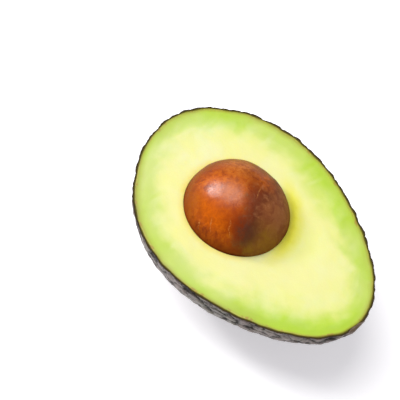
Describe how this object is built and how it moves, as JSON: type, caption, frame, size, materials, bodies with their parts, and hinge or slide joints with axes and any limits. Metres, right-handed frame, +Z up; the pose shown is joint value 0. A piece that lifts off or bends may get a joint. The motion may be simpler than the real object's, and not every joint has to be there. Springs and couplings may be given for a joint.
{
  "type": "halved avocado",
  "caption": "Half an avocado with its seed: a flat cut face of pale flesh with lime edges, a large brown seed standing out of it, and a thin dark pebbled peel.",
  "frame": {"origin": "on the surface that the half rests on, under the middle of its box", "axes": "+X along the fruit towards the narrow stem end, +Y across it, +Z up, out of the cut face"},
  "size_m": [0.1076, 0.0754, 0.0503],
  "materials": {
    "flesh": "moist buttery satin, pale yellow in the middle and lime green towards the peel",
    "peel": "thin leathery skin, pebbled, dark olive brown, softly shining",
    "seed_coat": "satin orange-brown seed coat with a darker papery side and fine cracks"
  },
  "bodies": {
    "root": {"flesh": "flesh", "peel": "peel", "seed": "seed_coat"}
  },
  "joints": []
}
